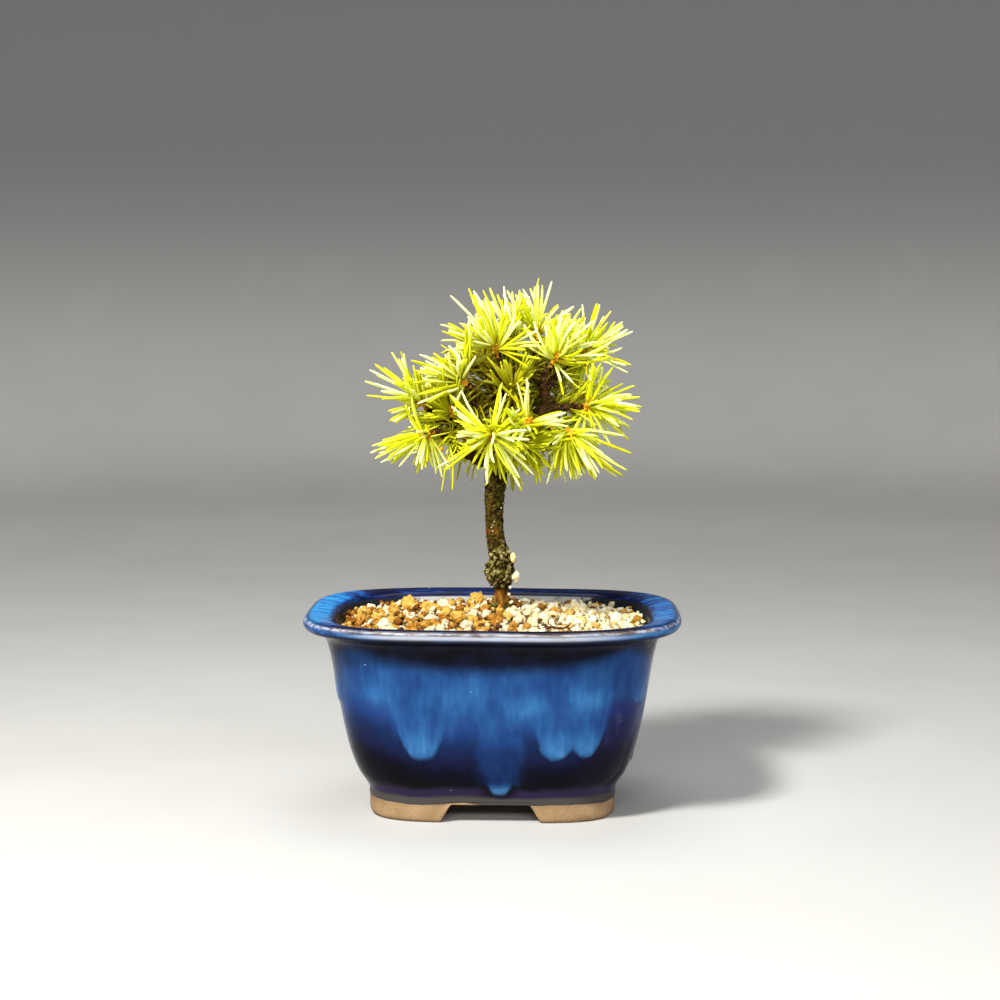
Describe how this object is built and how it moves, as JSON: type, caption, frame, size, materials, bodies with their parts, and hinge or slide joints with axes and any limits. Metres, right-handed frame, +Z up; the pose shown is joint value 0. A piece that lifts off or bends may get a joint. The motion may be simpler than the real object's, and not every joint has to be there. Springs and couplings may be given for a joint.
{
  "type": "japanese white pine bonsai",
  "caption": "Small grafted five-needle pine with a rounded crown of needle sprays, growing in grit in a bellied rounded-rectangle glazed pot on corner feet.",
  "frame": {"origin": "on the surface that the pot stands on, under the middle of the pot's rim", "axes": "+Z up, +X along the pot's long side to the right as the front is seen, +Y from the front to the back"},
  "size_m": [0.1108, 0.084, 0.1554],
  "materials": {
    "glaze": "glossy streaked blue glaze that runs down in drips, over bare buff clay feet",
    "akadama": "dull granular baked clay, orange-brown",
    "pumice": "dull granular pumice, cream",
    "drain_mesh": "matte black moulded mesh",
    "wire": "brown anodised soft wire",
    "bark": "scaly dark bark, grey-green round the graft",
    "needles": "waxy bright yellow-green pine needles"
  },
  "bodies": {
    "root": {"pot": "glaze", "soil_akadama": "akadama", "soil_pumice": "pumice", "drain_screen_left": "drain_mesh", "drain_screen_right": "drain_mesh", "screen_wire_left": "wire", "screen_wire_right": "wire", "trunk_and_branches": "bark", "needles_front_low": "needles", "needles_front_right": "needles", "needles_left_outer": "needles", "needles_left_lower": "needles", "needles_left_upper": "needles", "needles_left_middle": "needles", "needles_top_left": "needles", "needles_top_middle": "needles", "needles_top_right": "needles", "needles_right_upper": "needles", "needles_right_middle": "needles", "needles_right_lower": "needles", "needles_under_right": "needles", "needles_centre": "needles", "needles_centre_left": "needles", "needles_top_back_left": "needles", "needles_top_back_right": "needles", "needles_back_left": "needles", "needles_back_right": "needles", "needles_back_middle": "needles", "needles_back_low_left": "needles", "needles_back_low_right": "needles", "needles_back_low_middle": "needles", "needles_top_centre": "needles"}
  },
  "joints": []
}
